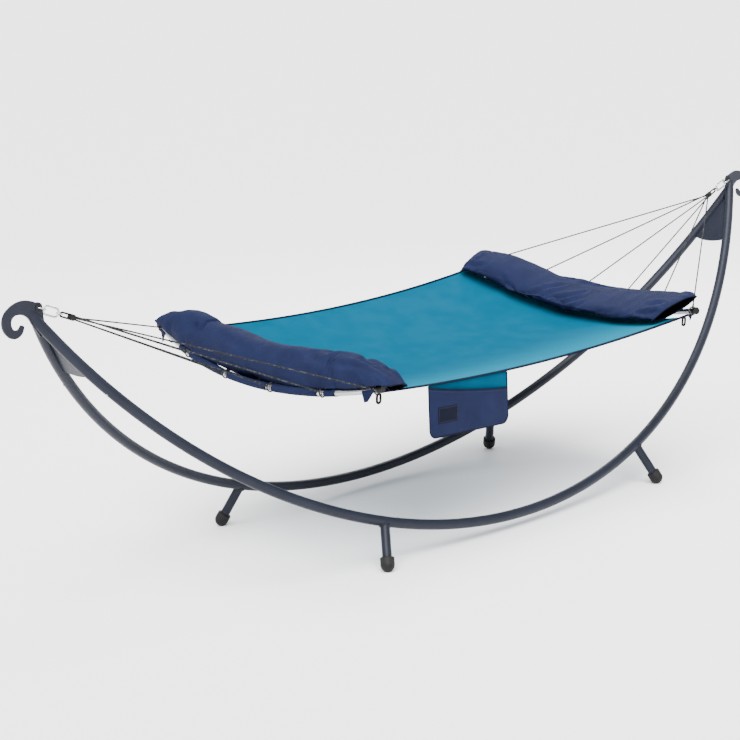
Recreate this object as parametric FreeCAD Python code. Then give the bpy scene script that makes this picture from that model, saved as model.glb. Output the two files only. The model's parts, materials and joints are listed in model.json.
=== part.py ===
import FreeCAD, Part
import math
import os
from FreeCAD import Vector, Rotation, Placement

# A spreader-bar hammock hung in a free-standing steel arc stand. Millimetres.
# X runs along the hammock, Y across it, Z is up. The origin is on the floor under the middle.
# Two bent tubes lean outwards from the centre plane and meet at each end on a scroll hook plate.

# ---- stand: driving dimensions ----
arc_radius = 2334.0        # bend radius of each long tube, to its centreline
arc_half_span = 2030.0     # middle to the point where the two tubes meet, along X
arc_lean = 24.5            # degrees each bent tube leans out from the upright centre plane
meet_height = 1135.0       # height of the meeting point above the floor
tube_r = 21.0              # outside radius of the stand's tubes
tube_wall = 2.0
swage_gap = 0.3            # radial clearance of a swaged end inside the next tube
swage_turn = 1.72          # degrees of arc that a swaged end reaches into the next tube
shoulder_turn = 0.2        # degrees of arc of the step between full and swaged diameter
mid_joint = 16.4           # degrees along the arc from the middle to the centre tube's ends
end_joint = 52.0           # degrees along the arc from the middle to the end tubes' lower ends
tube_top_past = 1.0        # degrees of arc that an end tube runs past the meeting point
leg_turn = 19.2            # degrees along the arc from the middle to the legs
leg_r = 19.0
leg_wall = 2.0
foot_r = 28.5              # rubber foot: ball radius
foot_flat = 1.5            # how much of the ball is flattened to stand on
foot_collar = 30.0         # straight part of the foot above the ball's centre
foot_bore_gap = 0.2

# ---- snap clips that lock the tube joints ----
button_r = 4.0
button_gap = 0.05          # radial clearance of a button in its holes
button_proud = 2.6         # how far a button stands out of the tube
button_travel = 5.0        # how far it is pressed to free the joint
button_flange_r = 6.5
button_flange = 1.4
clip_inset = 1.6           # button flange below the bore's crown
clip_leaf = 0.8            # thickness of the spring leaf
clip_bend_r = 8.0
clip_length = 34.0
clip_width = 9.0
mid_button = 17.55         # degrees along the arc, on the inner side of the bend
end_button = 51.3          # degrees along the arc, on the outer side of the bend

# ---- hook plate, gusset and eye ----
plate_thick = 9.0
eye_out = 2020.0           # eye centre from the middle, along X
eye_height = 1180.0
eye_ear_r = 19.0
bushing_r = 9.0
bushing_bore_r = 6.0
bushing_flange_r = 12.5
bushing_flange = 2.0
gusset_thick = 5.0
gusset_turn = 53.4         # degrees along the arc at the gusset's lower corners
gusset_bulge = 20.0        # how far its lower edge bows down between the tubes
gusset_top = 40.0          # start of the gusset below the meeting point

# ---- hanging hardware, measured along the line of pull from the eye ----
pull_drop = 22.0           # degrees that the line of pull drops from level
link_r = 3.0
link_end_r = 11.0
link_reach = 35.0          # eye centre to the link's far bend, centreline
hang_gap = 0.3             # clearance between hooked pieces
swing_gap = 1.3            # clearance between the eye link and the carabiner that swings in it
carabiner_r = 4.0
carabiner_length = 70.0    # centreline
carabiner_half = 16.0      # centreline half width
gate_r = 3.0
gate_length = 34.0
gate_tongue = 4.0
gate_slot_gap = 0.2
gate_pin_r = 1.5
gate_pin_gap = 0.05
ring_r = 2.5
ring_end_r = 9.0
ring_length = 22.0         # centreline
rope_eye_r = 3.5
rope_eye_end_r = 8.0
rope_eye_length = 42.0     # bend to collar
collar_r = 12.0
collar_length = 22.0

# ---- hammock: sizes as if it hung level; then it is rolled to the angle it hangs at ----
hang_roll = 4.1            # degrees: the pocket's side hangs lower
bar_half = 668.0           # half length of a spreader bar
bar_end_x = 944.0          # bar ends from the middle, along X
bar_end_height = 817.0
bar_bow_out = 93.0         # how far the bar's middle bows towards the stand's end
bar_bow_down = 92.0
bar_r = 12.7
bar_wall = 1.6
cap_r = 15.5
cap_length = 22.0
sleeve_r = 15.4
sleeve_gap = 0.3
window_half = 17.0         # half width of each opening in the sleeve, where a rope is tied
rope_spots = (0.96, 0.6, 0.2)   # rope places along the bar, as a share of its half length
rope_r = 3.0
rope_bundle_r = 6.3        # circle of the six ropes where they leave the collar
rope_start = 2.4           # collar's face to the rope's end
rope_stop = 2.5            # rope's other end to the bar's surface
bed_corner_x = 928.0
bed_half = 642.0           # half width of the cloth at its ends
bed_waist = 20.0           # how much narrower each side is in the middle
bed_edge_height = 798.0    # side edges at the ends
bed_edge_sag = 50.0
bed_cross_sag = 88.0
bed_thick = 3.0
pillow_inset = 78.0        # bar to the pillow's middle line, towards the hammock's middle
pillow_deep = 121.0        # half depth across the bar, in the middle
pillow_end_deep = 80.0     # and at the pillow's two ends
pillow_high = 75.0         # half height in the middle
pillow_end_high = 30.0
pillow_end_rise = 9.0      # its ends lie higher, over the bar's end caps
pillow_tilt = 14.0         # degrees: the side over the bar lies higher
pillow_clear = 12.0        # pillow above the cloth at its middle line
pillow_skin = 9.0          # thickness of cover and wadding
pillow_near_end = 698.0    # ends of its middle line, measured along Y at the bar
pillow_far_end = 674.0
pocket_from = -664.0       # pocket's two ends along X
pocket_to = -211.0
pocket_drop = 212.0
pocket_hem_gap = 8.0       # hem to the pocket's top edge
panel_thick = 2.5
pocket_depth = 14.0        # how far the pouch stands out from its back panel
pouch_low = 70.0           # the pouch's mouth below the hem at its deep end
pouch_high = 14.0          # and at its other end
toggle_r = 1.6
toggle_end_r = 6.0
toggle_length = 26.0

ENDS = (("left", -1), ("right", 1))
SIDES = (("front", -1), ("back", 1))

X, Y, Z = Vector(1, 0, 0), Vector(0, 1, 0), Vector(0, 0, 1)
arc_depth = arc_radius - math.sqrt(arc_radius ** 2 - arc_half_span ** 2)
meet_turn = math.degrees(math.asin(arc_half_span / arc_radius))
lean = math.radians(arc_lean)
roll = math.radians(hang_roll)
pull = math.radians(pull_drop)
swage_r = tube_r - tube_wall - swage_gap


# ---- the bent tubes ----
def down_axis(side):
    """Down the leaning plane of one bent tube."""
    return Vector(0, side * math.sin(lean), -math.cos(lean))


def arc_centre(side):
    return Vector(0, 0, meet_height) - down_axis(side) * (arc_radius - arc_depth)


def radial(turn, side):
    """Outward from the bend's centre, at an angle along the arc."""
    a = math.radians(turn)
    return X * math.sin(a) + down_axis(side) * math.cos(a)


def tangent(turn, side):
    a = math.radians(turn)
    return X * math.cos(a) - down_axis(side) * math.sin(a)


def arc_point(turn, side):
    return arc_centre(side) + radial(turn, side) * arc_radius


def ring_face(centre, normal, outer, inner=0.0):
    wires = [Part.Wire(Part.makeCircle(outer, centre, normal))]
    if inner > 0:
        wires.append(Part.Wire(Part.makeCircle(inner, centre, normal)))
    return Part.makeFace(wires, "Part::FaceMakerBullseye")


def bent(side, start, stop, outer, inner=0.0):
    """A length of round bar or tube along the bend, from start to stop degrees."""
    face = ring_face(arc_point(start, side), tangent(start, side), outer, inner)
    axis = tangent(0, side).cross(down_axis(side))
    return face.revolve(arc_centre(side), axis, start - stop)


def drill(centre, direction, radius, length):
    return Part.makeCylinder(radius, length, centre - direction * (length / 2), direction)


def button_spot(end, side, where):
    """Tube centre, the way a button points (inner side of the bend at the middle joints, outer
    side at the ends) and the way its spring lies, into the tube that carries it."""
    turn = end * (mid_button if where == "mid" else end_button)
    way = radial(turn, side) * (-1 if where == "mid" else 1)
    along = tangent(turn, side) * (-end if where == "mid" else end)
    return arc_point(turn, side), way, along


def with_button_hole(tube, end, side, where):
    centre, way, _ = button_spot(end, side, where)
    hole = Part.makeCylinder(button_r + button_gap, tube_r + 5, centre, way)
    return tube.cut(hole)


def swaged(side, shoulder, tip, outer=swage_r):
    """The reduced end of a tube and the step that leads to it."""
    step = shoulder - shoulder_turn if tip > shoulder else shoulder + shoulder_turn
    low, high = sorted((step, shoulder))
    collar = bent(side, low, high, tube_r, outer - tube_wall)
    low, high = sorted((shoulder, tip))
    return collar.fuse(bent(side, low, high, outer, outer - tube_wall))


def centre_tube(side):
    body = bent(side, -mid_joint + shoulder_turn, mid_joint - shoulder_turn, tube_r, tube_r - tube_wall)
    for _, end in ENDS:
        body = body.fuse(swaged(side, end * mid_joint, end * (mid_joint + swage_turn)))
        body = with_button_hole(body, end, side, "mid")
    return body


def side_tube(end, side):
    low, high = sorted((end * mid_joint, end * end_joint))
    body = bent(side, low, high, tube_r, tube_r - tube_wall)
    for where in ("mid", "end"):
        body = with_button_hole(body, end, side, where)
    return body


def end_tube(end, side):
    top = end * (meet_turn + tube_top_past)
    low, high = sorted((end * (end_joint + shoulder_turn), top))
    body = bent(side, low, high, tube_r, tube_r - tube_wall)
    body = body.fuse(swaged(side, end * end_joint, end * (end_joint - swage_turn)))
    body = with_button_hole(body, end, side, "end")
    half = Part.makeBox(1200, 600, 1600, Vector(end * 1900 - 600, 0, 0))
    if side < 0:
        half.translate(Vector(0, -600, 0))
    half.translate(Vector(0, side * plate_thick / 2, 0))
    return body.common(half)


def snap_clip(end, side, where):
    """A domed button riveted to a folded spring leaf, moving straight in and out of the tube."""
    centre, way, along = button_spot(end, side, where)
    inside = swage_r - tube_wall
    base = centre + way * (inside - clip_inset - button_flange)
    flange = Part.makeCylinder(button_flange_r, button_flange, base, way)
    length = tube_r + button_proud - inside + clip_inset
    stem = Part.makeCylinder(button_r, length, base + way * button_flange, way)
    dome = stem.makeFillet(button_r * 0.45, [dome_edge(stem, base, way)])
    button = flange.fuse(dome)
    across = way.cross(along)
    foot = base - along * button_flange_r - across * (clip_width / 2)
    upper = plate_between(foot, along, across, way, clip_length, clip_width, -clip_leaf)
    fold_at = foot + along * clip_length - way * clip_bend_r
    outer = Part.makeCylinder(clip_bend_r, clip_width, fold_at, across)
    outer = outer.cut(Part.makeCylinder(clip_bend_r - clip_leaf, clip_width, fold_at, across))
    block = plate_between(fold_at - way * 20, -along, across, way, 20, clip_width, 40)
    bend = outer.cut(block)
    low = foot - way * (2 * clip_bend_r - clip_leaf)
    lower = plate_between(low, along, across, way, clip_length, clip_width, -clip_leaf)
    return Part.makeCompound([button, upper.fuse(bend).fuse(lower)])


def dome_edge(stem, base, way):
    rims = [e for e in stem.Edges if isinstance(e.Curve, Part.Circle)]
    return max(rims, key=lambda e: (e.Curve.Center - base).dot(way))


def plate_between(corner, along, across, up, length, width, height):
    """A flat bar from a corner, along three directions at right angles."""
    points = [corner, corner + along * length, corner + along * length + across * width,
              corner + across * width, corner]
    return Part.Face(Part.makePolygon(points)).extrude(up * height)


def leg_line(end, side):
    """Start on the tube's centre, direction, and distance to the foot ball's centre."""
    start = arc_point(end * leg_turn, side)
    way = radial(end * leg_turn, side)
    return start, way, (start.z - (foot_r - foot_flat)) / -way.z


def leg(end, side):
    start, way, reach = leg_line(end, side)
    tube = Part.makeCylinder(leg_r, reach, start, way)
    tube = tube.cut(Part.makeCylinder(leg_r - leg_wall, reach - leg_wall, start, way))
    return tube.cut(bent(side, end * leg_turn - 2, end * leg_turn + 2, tube_r))


def foot(end, side):
    start, way, reach = leg_line(end, side)
    ball_at = start + way * reach
    ball = Part.makeSphere(foot_r, ball_at)
    collar = Part.makeCylinder(foot_r, foot_collar, ball_at, way * -1)
    rim = [e for e in collar.Edges if isinstance(e.Curve, Part.Circle)]
    rim = max(rim, key=lambda e: (ball_at - e.Curve.Center).dot(way))
    body = ball.fuse(collar.makeFillet(4.0, [rim]))
    bore = Part.makeCylinder(leg_r + foot_bore_gap, foot_collar + 20, ball_at, way * -1)
    floor_cut = Part.makeBox(200, 200, 100, ball_at + Vector(-100, -100, -100 - foot_r + foot_flat))
    return body.cut(bore).cut(floor_cut)


# ---- hook plate, gusset, eye ----
def at_eye(end, out, up, across=0.0):
    """A place given outwards and upwards from the eye's centre."""
    return Vector(end * (eye_out + out), across, eye_height + up)


def hook_plate(end):
    """A flat scroll: ear round the eye, outer and inner curls, and a tail between the tubes."""
    def arc(a, b, c):
        return Part.Arc(at_eye(end, *a), at_eye(end, *b), at_eye(end, *c)).toShape()

    def line(a, b):
        return Part.makeLine(at_eye(end, *a), at_eye(end, *b))

    ear_top, neck, brow, back, sole, curl = (6, 18), (70, 34), (128, 12), (156, -40), (138, -82), (66, -68)
    tip, throat, crown, root, tail = (80, -56), (116, -52), (86, -14), (33, -52), (-3, -108)
    tail_in, ear_low = (-27, -88), (-17.5, -6)
    edges = [
        arc(ear_top, neck, brow), arc(brow, back, sole), arc(sole, (104, -98), curl),
        arc(curl, (70, -54), tip), arc(tip, (98, -68), throat), arc(throat, (113, -25), crown),
        arc(crown, (56, -23), root), line(root, tail), line(tail, tail_in),
        line(tail_in, ear_low), arc(ear_low, (-13.5, 13.5), ear_top),
    ]
    face = Part.Face(Part.Wire(edges))
    plate = face.extrude(Y * plate_thick)
    plate.translate(Y * (-plate_thick / 2))
    return plate.cut(drill(at_eye(end, 0, 0), Y, bushing_r, 60))


def eye_bushing(end):
    centre = at_eye(end, 0, 0)
    body = drill(centre, Y, bushing_r, plate_thick)
    for side in (-1, 1):
        start = centre + Y * side * plate_thick / 2
        body = body.fuse(Part.makeCylinder(bushing_flange_r, bushing_flange, start, Y * side))
    return body.cut(drill(centre, Y, bushing_bore_r, 60))


def gusset(end, plate):
    """A web across the wedge between the two end tubes, with a lower edge that bows down."""
    low = [arc_point(end * gusset_turn, side) for _, side in SIDES]
    foot_mid = (low[0] + low[1]) * 0.5
    top = Vector(end * arc_half_span, 0, meet_height)
    down = foot_mid - top
    down.normalize()
    start = top + down * gusset_top
    edges = [
        Part.makeLine(start, low[0]),
        Part.Arc(low[0], foot_mid + down * gusset_bulge, low[1]).toShape(),
        Part.makeLine(low[1], start),
    ]
    normal = down.cross(Y)
    web = Part.Face(Part.Wire(edges)).extrude(normal * gusset_thick)
    web.translate(normal * (-gusset_thick / 2))
    for _, side in SIDES:
        turns = sorted((end * (gusset_turn - 3), end * (meet_turn + 2)))
        web = web.cut(bent(side, turns[0], turns[1], tube_r))
    web = web.cut(plate)
    return max(web.Solids, key=lambda s: s.Volume)


# ---- hanging hardware ----
def on_pull(end, s, across=0.0, lift=0.0):
    """A place s along the line of pull from the eye, across it and lifted off it."""
    way = Vector(-end * math.cos(pull), 0, -math.sin(pull))
    up = Vector(-end * math.sin(pull), 0, math.cos(pull))
    return Vector(end * eye_out, 0, eye_height) + way * s + Y * across + up * lift


def pull_way(end):
    return on_pull(end, 1) - on_pull(end, 0)


def lift_way(end):
    return on_pull(end, 0, 0, 1) - on_pull(end, 0)


def sweep_round(path, radius):
    """Round bar along a path of lines and arcs."""
    wire = Part.Wire(path)
    start = wire.Edges[0].valueAt(wire.Edges[0].FirstParameter)
    way = wire.Edges[0].tangentAt(wire.Edges[0].FirstParameter)
    profile = Part.Wire(Part.makeCircle(radius, start, way))
    return wire.makePipeShell([profile], True, False)


def loop_path(place, near, far, half):
    """A closed stadium between two bends; place(s, off) gives its points."""
    a, b = near + half, far - half
    return [
        Part.makeLine(place(a, half), place(b, half)),
        Part.Arc(place(b, half), place(far, 0), place(b, -half)).toShape(),
        Part.makeLine(place(b, -half), place(a, -half)),
        Part.Arc(place(a, -half), place(near, 0), place(a, half)).toShape(),
    ]


carabiner_near = link_reach - link_r - swing_gap - carabiner_r
carabiner_far = carabiner_near + carabiner_length
ring_near = carabiner_far - carabiner_r - hang_gap - ring_r
ring_far = ring_near + ring_length
rope_eye_near = ring_far - ring_r - hang_gap - rope_eye_r
collar_near = rope_eye_near + rope_eye_length
collar_far = collar_near + collar_length
swing_s = (link_reach - link_r + carabiner_near + carabiner_r) / 2
swing_axis_z = on_pull(1, swing_s).z
pin_s = carabiner_far - carabiner_half - 2.0
gate_tip_s = pin_s - gate_length


def eye_link(end):
    path = loop_path(lambda s, off: on_pull(end, s, off), 0.0, link_reach, link_end_r)
    return sweep_round(path, link_r)


def carabiner(end):
    def place(s, off):
        return on_pull(end, s, 0, off)

    h = carabiner_half
    a, b = carabiner_near + h, carabiner_far - h
    nose_s, fork_s = gate_tip_s - 0.5, pin_s - 4.5
    path = [
        Part.makeLine(place(fork_s, h), place(b, h)),
        Part.Arc(place(b, h), place(carabiner_far, 0), place(b, -h)).toShape(),
        Part.makeLine(place(b, -h), place(a, -h)),
        Part.Arc(place(a, -h), place(carabiner_near, 0), place(a, h)).toShape(),
        Part.makeLine(place(a, h), place(nose_s, h)),
    ]
    body = sweep_round(path, carabiner_r)
    slot_half = gate_tongue / 2 + gate_slot_gap
    corner = on_pull(end, fork_s - 5, -slot_half, h - 9)
    slot = plate_between(corner, pull_way(end), Y, lift_way(end), 14.5, 2 * slot_half, 18)
    return body.cut(slot).cut(drill(place(pin_s, h), Y, gate_pin_r, 40))


def gate(end):
    pin = on_pull(end, pin_s, 0, carabiner_half)
    tip = on_pull(end, gate_tip_s, 0, carabiner_half)
    neck = on_pull(end, pin_s - 6, 0, carabiner_half)
    rod = Part.makeCylinder(gate_r, gate_length - 6, tip, pull_way(end))
    corner = on_pull(end, pin_s - 7, -gate_tongue / 2, carabiner_half - gate_r + 0.4)
    bar = plate_between(corner, pull_way(end), Y, lift_way(end), 7, gate_tongue, 2 * gate_r - 0.8)
    knuckle = drill(pin, Y, gate_r + 0.4, gate_tongue)
    rod = rod.cut(Part.makeSphere(1.2, neck + lift_way(end) * (gate_r + 0.6)))
    body = rod.fuse(bar).fuse(knuckle)
    return body.cut(drill(pin, Y, gate_pin_r + gate_pin_gap, 40))


def gate_pin(end):
    return drill(on_pull(end, pin_s, 0, carabiner_half), Y, gate_pin_r, 2 * carabiner_r + 1.0)


def small_ring(end):
    path = loop_path(lambda s, off: on_pull(end, s, off), ring_near, ring_far, ring_end_r)
    return sweep_round(path, ring_r)


def rope_eye(end):
    def place(s, off):
        return on_pull(end, s, 0, off)

    h, bend = rope_eye_end_r, rope_eye_near + rope_eye_end_r
    path = [
        Part.makeLine(place(collar_near, h), place(bend, h)),
        Part.Arc(place(bend, h), place(rope_eye_near, 0), place(bend, -h)).toShape(),
        Part.makeLine(place(bend, -h), place(collar_near, -h)),
    ]
    return sweep_round(path, rope_eye_r)


def rope_collar(end):
    return Part.makeCylinder(collar_r, collar_length, on_pull(end, collar_near), pull_way(end))


# ---- spreader bars ----
def bar_point(end, share):
    """Centre of the bar at a share of its half length, before the roll."""
    bow = 1 - share ** 2
    return Vector(end * (bar_end_x + bar_bow_out * bow), share * bar_half, bar_end_height - bar_bow_down * bow)


def bar_circle(end):
    """Centre, axis and radius of the bar's bend."""
    a, b, c = (bar_point(end, s) for s in (-1, 0, 1))
    circle = Part.Circle(a, b, c)
    return circle.Center, circle.Axis, circle.Radius


def along_bar(end, y):
    """The point of the bend at a distance y across the hammock, and the bar's direction there."""
    centre, _, radius = bar_circle(end)
    out = bar_point(end, 0) - centre
    out.normalize()
    point = centre + out * math.sqrt(radius ** 2 - y ** 2) + Y * y
    spoke = point - centre
    way = (out.cross(Y)).cross(spoke)
    way.normalize()
    return point, way


def bar_stretch(end, y_low, y_high, outer, inner=0.0):
    """Round tube along the bar's bend between two distances across the hammock."""
    start, way = along_bar(end, y_low)
    centre, _, radius = bar_circle(end)
    out = bar_point(end, 0) - centre
    axis = out.cross(Y)
    turn = math.degrees(math.asin(y_high / radius) - math.asin(y_low / radius))
    return ring_face(start, way, outer, inner).revolve(centre, axis, turn)


def spreader_bar(end):
    return bar_stretch(end, -bar_half, bar_half, bar_r, bar_r - bar_wall)


def bar_caps(end):
    caps = []
    for side in (-1, 1):
        inner, outer = side * (bar_half - cap_length + 3), side * (bar_half + 3)
        low, high = sorted((inner, outer))
        cup = bar_stretch(end, low, high, cap_r)
        cup = cup.cut(bar_stretch(end, min(0, side * bar_half), max(0, side * bar_half), bar_r))
        caps.append(cup)
    return caps


def bar_sleeve(end):
    """Cloth tube round the bar, in lengths between the openings where the ropes are tied."""
    spots = sorted(side * s * bar_half for s in rope_spots for side in (-1, 1))
    gaps = [spots[0] + window_half] + [s + d * window_half for s in spots[1:-1] for d in (-1, 1)]
    gaps.append(spots[-1] - window_half)
    inner = bar_r + sleeve_gap
    return [bar_stretch(end, a, b, sleeve_r, inner) for a, b in zip(gaps[0::2], gaps[1::2])]


def rope(end, order, share):
    """A straight run from the collar's face to the bar's opening."""
    angles = {0.96: 0, 0.6: 60, 0.2: -60}
    angle = math.radians(angles[abs(share)])
    side = 1 if share > 0 else -1
    across = side * rope_bundle_r * math.cos(angle)
    start = on_pull(end, collar_far + rope_start, across, rope_bundle_r * math.sin(angle))
    target, _ = along_bar(end, share * bar_half)
    way = target - start
    reach = way.Length - bar_r - rope_r - rope_stop
    way.normalize()
    return Part.makeCylinder(rope_r, reach, start, way)


# ---- cloth ----
def bed_point(along, across, drop=0.0):
    """The cloth's middle surface: along and across run from -1 to 1."""
    side_bow, end_bow = 1 - along ** 2, 1 - across ** 2
    x = along * (bed_corner_x + bar_bow_out * end_bow)
    y = across * (bed_half - bed_waist * side_bow)
    z = bed_edge_height - bed_edge_sag * side_bow - bed_cross_sag * end_bow
    return Vector(x, y, z - drop)


def bed():
    steps = [i / 5.0 - 1 for i in range(11)]
    skins = []
    for drop in (0.0, bed_thick):
        surface = Part.BSplineSurface()
        surface.interpolate([[bed_point(a, b, drop) for b in steps] for a in steps])
        skins.append(surface)
    top, bottom = (s.toShape() for s in skins)
    sides = []
    for a, b in (((-1, -1), (-1, 1)), ((-1, 1), (1, 1)), ((1, 1), (1, -1)), ((1, -1), (-1, -1))):
        rims = [edge_between(skin, bed_point(*a, drop), bed_point(*b, drop))
                for skin, drop in ((top, 0.0), (bottom, bed_thick))]
        sides.append(Part.makeRuledSurface(rims[0], rims[1]))
    shell = Part.makeShell([top, bottom] + sides)
    shell.sewShape()
    solid = Part.makeSolid(Part.Shell(shell.Faces))
    if solid.Volume < 0:
        solid.reverse()
    return solid


def edge_between(face, a, b):
    """The face's edge whose two ends are nearest to two points."""
    def miss(e):
        p, q = e.valueAt(e.FirstParameter), e.valueAt(e.LastParameter)
        return min((p - a).Length + (q - b).Length, (p - b).Length + (q - a).Length)
    return min(face.Edges, key=miss)


def pillow(end):
    """A plump roll that lies on the cloth along the bar: a padded cover round an empty middle."""
    return pillow_roll(end, 0.0).cut(pillow_roll(end, pillow_skin))


def pillow_roll(end, skin):
    """The roll's shape along the bar's bow, drawn in by the thickness of its cover."""
    wires = []
    tilt = math.radians(pillow_tilt)
    stations = [-1, -0.985, -0.93, -0.8, -0.55, -0.25, 0, 0.25, 0.55, 0.8, 0.93, 0.985, 1]
    for station in stations:
        y = station * ((pillow_far_end if station > 0 else pillow_near_end) - skin)
        full = math.sqrt(max(0.0, 1 - abs(station) ** 6))
        deep = pillow_end_deep + (pillow_deep - pillow_end_deep) * full
        high = pillow_end_high + (pillow_high - pillow_end_high) * full
        inward = Vector(-end, -2 * bar_bow_out * y / bar_half ** 2, 0)
        inward.normalize()
        centre = bar_point(end, y / bar_half) + inward * pillow_inset
        centre.z = bed_height_at(centre.x, centre.y) + pillow_clear + high + pillow_end_rise * (1 - full)
        reach = inward * math.cos(tilt) - Z * math.sin(tilt)
        along = inward.cross(Z)
        ring = Part.Ellipse(Vector(0, 0, 0), deep - skin, high - skin).toShape()
        ring.Placement = Placement(centre, Rotation(reach, along.cross(reach), along, "XZY"))
        wires.append(Part.Wire(ring))
    return Part.makeLoft(wires, True, False)


def bed_height_at(x, y):
    """Height of the cloth under a point, held level beyond its edges."""
    across = max(-1.0, min(1.0, y / bed_half))
    reach = bed_corner_x + bar_bow_out * (1 - across ** 2)
    along = max(-1.0, min(1.0, x / reach))
    return bed_point(along, across).z


def rolled(point):
    """Where a point goes when the level hammock rolls to the angle it hangs at."""
    return Placement(Vector(), Rotation(X, hang_roll), Vector(0, 0, swing_axis_z)).multVec(point)


def hem_point(x):
    """The near edge of the cloth at a distance along X, after the roll."""
    return rolled(bed_point(x / bed_corner_x, -1, bed_thick))


pocket_start, pocket_stop = hem_point(pocket_from), hem_point(pocket_to)
pocket_axis = pocket_stop - pocket_start
pocket_width = pocket_axis.Length
pocket_axis.normalize()
pocket_out = pocket_axis.cross(Z)
pocket_out.normalize()
pocket_down = Z * -1
if pocket_out.y > 0:
    pocket_out = pocket_out * -1


def pocket_place(along, down, out=0.0):
    return pocket_start + pocket_axis * along + pocket_down * down + pocket_out * out


def pocket_outline(margin, top_a, top_b, out):
    """The pocket's face: rounded lower corners, straight sides, a mouth from top_a to top_b."""
    w, r = pocket_width, 34.0
    left, right, low = margin, w - margin, pocket_drop - margin
    k = r * (1 - math.sqrt(0.5))
    points = [(left, top_a), (left, low - r), (left + k, low - k), (left + r, low),
              (right - r, low), (right - k, low - k), (right, low - r), (right, top_b)]
    p = [pocket_place(a, d, out) for a, d in points]
    return Part.Wire([
        Part.makeLine(p[0], p[1]), Part.Arc(p[1], p[2], p[3]).toShape(), Part.makeLine(p[3], p[4]),
        Part.Arc(p[4], p[5], p[6]).toShape(), Part.makeLine(p[6], p[7]), Part.makeLine(p[7], p[0]),
    ])


def pocket_back():
    wire = pocket_outline(0.0, pocket_hem_gap, pocket_hem_gap, -panel_thick)
    return Part.Face(wire).extrude(pocket_out * panel_thick)


def pocket_pouch():
    """The outer panel, with a bottom and sides sewn to the back panel and an open mouth."""
    shell = Part.Face(pocket_outline(3.0, pouch_high, pouch_low, 0.0)).extrude(pocket_out * pocket_depth)
    inner = pocket_outline(3.0 + panel_thick, pouch_high - 40, pouch_low - 40, 0.0)
    hollow = Part.Face(inner).extrude(pocket_out * (pocket_depth - panel_thick))
    return shell.cut(hollow)


def corner_toggle(end, side):
    """A small cord loop that hangs below a corner of the cloth."""
    corner = bed_point(end * 0.985, side * 0.97)
    top = corner.z - bed_thick - toggle_r - hang_gap

    def place(s, off):
        return Vector(corner.x + off, corner.y, top - s)

    return sweep_round(loop_path(place, 0.0, toggle_length, toggle_end_r), toggle_r)


# ---- put it together ----
def roll_hammock(shape):
    shape.rotate(Vector(0, 0, swing_axis_z), X, hang_roll)
    return shape


nodes = {}
for end_name, end in ENDS:
    nodes["hook_plate_" + end_name] = hook_plate(end)
    nodes["gusset_" + end_name] = gusset(end, nodes["hook_plate_" + end_name])
    for side_name, side in SIDES:
        corner_name = side_name + "_" + end_name
        nodes["end_tube_" + corner_name] = end_tube(end, side)
        nodes["side_tube_" + corner_name] = side_tube(end, side)
        nodes["leg_" + corner_name] = leg(end, side)
        for where in ("mid", "end"):
            nodes["snap_clip_" + where + "_" + corner_name] = snap_clip(end, side, where)
for side_name, side in SIDES:
    nodes["centre_tube_" + side_name] = centre_tube(side)
nodes["foot_caps"] = Part.makeCompound([foot(end, side) for _, end in ENDS for _, side in SIDES])
nodes["eye_bushings"] = Part.makeCompound([eye_bushing(end) for _, end in ENDS])
nodes["eye_links"] = Part.makeCompound([eye_link(end) for _, end in ENDS])

hammock = {}
for end_name, end in ENDS:
    hammock["carabiner_" + end_name] = carabiner(end)
    hammock["gate_" + end_name] = gate(end)
    hammock["spreader_bar_" + end_name] = spreader_bar(end)
    hammock["pillow_" + end_name] = pillow(end)
    for order, share in enumerate(s * side for side in (1, -1) for s in rope_spots):
        hammock["rope_%s_%d" % (end_name, order + 1)] = rope(end, order, share)
for name, make in (("gate_pins", gate_pin), ("small_rings", small_ring), ("rope_eyes", rope_eye),
                   ("rope_collars", rope_collar)):
    hammock[name] = Part.makeCompound([make(end) for _, end in ENDS])
hammock["bar_end_caps"] = Part.makeCompound([c for _, end in ENDS for c in bar_caps(end)])
hammock["bar_sleeves"] = Part.makeCompound([c for _, end in ENDS for c in bar_sleeve(end)])
hammock["bed_cloth"] = bed()
toggles = [corner_toggle(end, side) for _, end in ENDS for _, side in SIDES]
hammock["corner_toggles"] = Part.makeCompound(toggles)
for name, shape in hammock.items():
    nodes[name] = roll_hammock(shape)
nodes["pocket_back"] = pocket_back()
nodes["pocket_pouch"] = pocket_pouch()

os.makedirs("parts", exist_ok=True)
for name, shape in nodes.items():
    assert shape.isValid() and all(s.Volume > 0 for s in shape.Solids), name
    shape.exportStep("parts/" + name + ".step")
print(len(nodes), "nodes; swing axis height", round(swing_axis_z, 3),
      "x", round(on_pull(1, swing_s).x, 3))
for end_name, end in ENDS:
    pin = rolled(on_pull(end, pin_s, 0, carabiner_half))
    print("gate", end_name, [round(v, 3) for v in pin])
print("pocket", [round(v, 3) for v in pocket_start], [round(v, 5) for v in pocket_axis])
for end_name, end in ENDS:
    for side_name, side in SIDES:
        for where in ("mid", "end"):
            _, way, _ = button_spot(end, side, where)
            print("button", where, side_name, end_name, [round(-v, 5) for v in way])
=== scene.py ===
import json
import math
import bmesh
import bpy
import numpy as np
from mathutils import Matrix, Vector


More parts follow.
